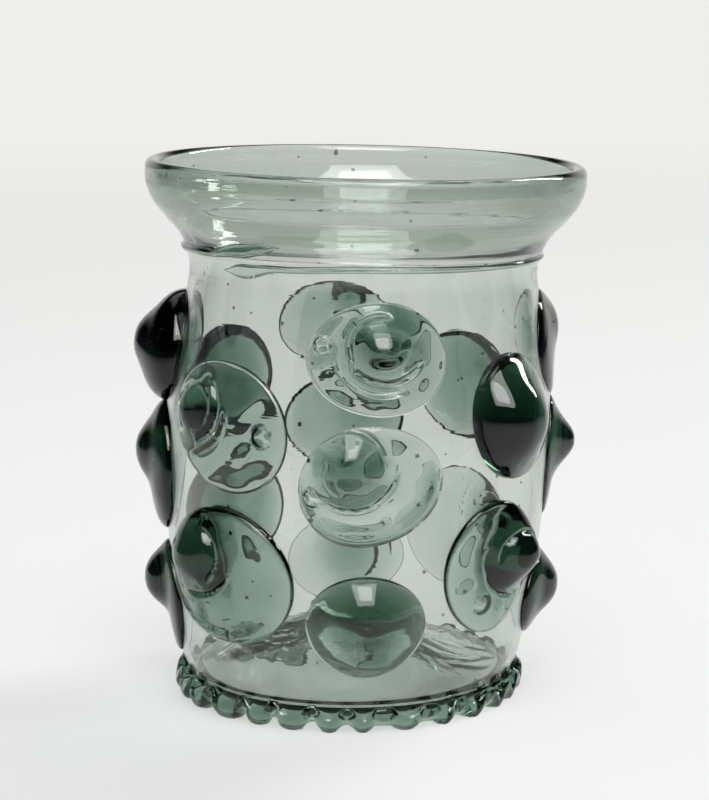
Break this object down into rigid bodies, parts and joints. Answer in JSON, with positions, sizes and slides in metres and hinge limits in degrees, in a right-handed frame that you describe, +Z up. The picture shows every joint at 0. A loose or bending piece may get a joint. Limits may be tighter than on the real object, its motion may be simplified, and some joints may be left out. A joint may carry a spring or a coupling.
{
  "type": "prunted beaker",
  "caption": "Blown grey-green glass beaker with a flared lip, a trail wound round the neck, applied drawn drops all round its wall and a pinched foot.",
  "frame": {"origin": "middle of the glass's box, on the surface that it stands on", "axes": "+Z up; the front of the glass, where the neck trail's tail lies to the left, faces -Y"},
  "size_m": [0.0893, 0.0902, 0.1059],
  "materials": {
    "wall_glass": "clear grey-green blown glass, fire-polished, with seeds and fine striations",
    "drop_glass": "thicker blue-green glass with a tool-drawn, fire-polished skin",
    "trail_glass": "drawn and pinched green glass with a smooth skin"
  },
  "bodies": {
    "root": {"beaker_body": "wall_glass", "neck_trail": "trail_glass", "pinched_foot": "trail_glass", "prunt_back_left_lower": "drop_glass", "prunt_back_left_upper": "drop_glass", "prunt_back_lower": "drop_glass", "prunt_back_middle": "drop_glass", "prunt_back_right_lower": "drop_glass", "prunt_back_right_upper": "drop_glass", "prunt_back_upper": "drop_glass", "prunt_front_left_lower": "drop_glass", "prunt_front_left_upper": "drop_glass", "prunt_front_lower": "drop_glass", "prunt_front_middle": "drop_glass", "prunt_front_right_lower": "drop_glass", "prunt_front_right_upper": "drop_glass", "prunt_front_upper": "drop_glass", "prunt_left_lower": "drop_glass", "prunt_left_middle": "drop_glass", "prunt_left_upper": "drop_glass", "prunt_right_lower": "drop_glass", "prunt_right_middle": "drop_glass", "prunt_right_upper": "drop_glass"}
  },
  "joints": []
}
